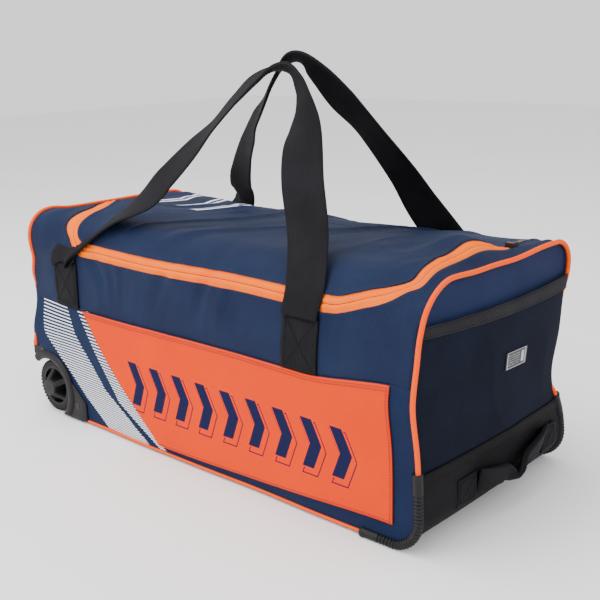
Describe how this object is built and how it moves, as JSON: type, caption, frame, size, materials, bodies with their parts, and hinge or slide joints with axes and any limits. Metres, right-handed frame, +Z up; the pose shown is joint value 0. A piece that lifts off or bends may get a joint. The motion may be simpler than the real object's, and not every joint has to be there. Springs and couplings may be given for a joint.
{
  "type": "wheeled kit holdall",
  "caption": "Soft wheeled sports holdall: U-zip lid, two webbing carry handles, end pull handle, slip pocket, corner wheels and ribbed corner guards.",
  "frame": {"origin": "on the floor under the middle of the bag, where the wheels and corner guards stand", "axes": "+X along the bag towards the pull-handle end, wheels at -X; -Y is the printed front, +Z up"},
  "size_m": [0.75, 0.342, 0.526],
  "materials": {
    "navy_fabric": "woven polyester, fine weave, semi-matte",
    "orange_fabric": "smooth printed polyester, satin",
    "base_fabric": "coated woven polyester, matte",
    "pocket_mesh": "close-woven dark mesh, matte",
    "black_binding": "ribbed woven binding tape, matte",
    "black_webbing": "woven polypropylene webbing, low sheen",
    "zip_tape": "woven zip tape with nylon coil, satin",
    "orange_piping": "fabric-covered piping cord, satin",
    "woven_label": "damask woven label, matte",
    "stiffener_board": "extruded polyethylene board, matte",
    "guard_rubber": "moulded ribbed rubber, satin",
    "housing_plastic": "injection-moulded plastic, fine texture",
    "wheel_plastic": "injection-moulded plastic, satin",
    "tyre_rubber": "moulded rubber tread, matte",
    "bearing_steel": "ground bearing steel",
    "axle_steel": "zinc-plated steel",
    "rivet_steel": "black-coated steel rivet",
    "slider_metal": "black-enamelled zinc slider"
  },
  "bodies": {
    "bag": {"base_panel": "base_fabric", "base_board": "stiffener_board", "front_lower_panel": "navy_fabric", "front_upper_panel": "navy_fabric", "back_panel": "navy_fabric", "top_panel": "navy_fabric", "left_end_panel": "navy_fabric", "right_end_panel": "navy_fabric", "body_zip_tape": "zip_tape", "end_pocket": "pocket_mesh", "pocket_binding": "black_binding", "base_binding": "black_binding", "front_print_panel": "orange_fabric", "label_patch": "woven_label", "right_end_piping": "orange_piping", "left_end_piping": "orange_piping", "front_bottom_piping": "orange_piping", "back_bottom_piping": "orange_piping", "corner_guard_front": "guard_rubber", "corner_guard_back": "guard_rubber", "wheel_axle_front": "axle_steel", "wheel_axle_back": "axle_steel", "axle_nut_front": "axle_steel", "axle_nut_back": "axle_steel", "wheel_housing_front": "housing_plastic", "wheel_housing_back": "housing_plastic", "housing_rivets": "rivet_steel", "rivet_burrs": "rivet_steel", "front_handle_anchors": "black_webbing", "back_handle_anchors": "black_webbing", "pull_handle_anchors": "black_webbing"},
    "lid": {"lid_panel": "navy_fabric", "lid_zip_tape": "zip_tape"},
    "carry_handle_front": {"front_handle": "black_webbing"},
    "carry_handle_back": {"back_handle": "black_webbing"},
    "end_handle": {"pull_handle": "black_webbing"},
    "slider": {"zip_slider": "slider_metal"},
    "pull_tab": {"zip_pull_tab": "slider_metal"},
    "wheel_front": {"wheel_tyre_front": "tyre_rubber", "wheel_hub_front": "wheel_plastic", "wheel_bearings_front": "bearing_steel", "hub_cap_front": "wheel_plastic"},
    "wheel_back": {"wheel_tyre_back": "tyre_rubber", "wheel_hub_back": "wheel_plastic", "wheel_bearings_back": "bearing_steel", "hub_cap_back": "wheel_plastic"}
  },
  "joints": [
    {"name": "lid_hinge", "type": "hinge", "parent": "bag", "child": "lid", "pos_m": [0, 0.046, 0.309], "axis": [-1, 0, 0], "range_deg": [0, 100]},
    {"name": "front_handle_hinge", "type": "hinge", "parent": "bag", "child": "carry_handle_front", "pos_m": [0, -0.166, 0.25], "axis": [1, 0, 0], "range_deg": [0, 140]},
    {"name": "back_handle_hinge", "type": "hinge", "parent": "bag", "child": "carry_handle_back", "pos_m": [0, 0.166, 0.25], "axis": [-1, 0, 0], "range_deg": [0, 140]},
    {"name": "pull_handle_hinge", "type": "hinge", "parent": "bag", "child": "end_handle", "pos_m": [0.3618, 0.023, 0.066], "axis": [0, -1, 0], "range_deg": [0, 75]},
    {"name": "zip_slide", "type": "slide", "parent": "bag", "child": "slider", "axis": [0, -1, 0], "range_m": [0, 0.13]},
    {"name": "pull_tab_hinge", "type": "hinge", "parent": "slider", "child": "pull_tab", "pos_m": [0.3375, 0.0609, 0.3124], "axis": [1, 0, 0], "range_deg": [0, 100]},
    {"name": "front_wheel_axle", "type": "hinge", "parent": "bag", "child": "wheel_front", "pos_m": [-0.3335, -0.145, 0.0415], "axis": [0, 1, 0], "continuous": true},
    {"name": "back_wheel_axle", "type": "hinge", "parent": "bag", "child": "wheel_back", "pos_m": [-0.3335, 0.145, 0.0415], "axis": [0, 1, 0], "continuous": true}
  ],
  "couplings": [
    {"joint": "front_handle_hinge", "follows": "lid_hinge", "ratio": 1.4},
    {"joint": "back_handle_hinge", "follows": "lid_hinge", "ratio": 1.4}
  ]
}
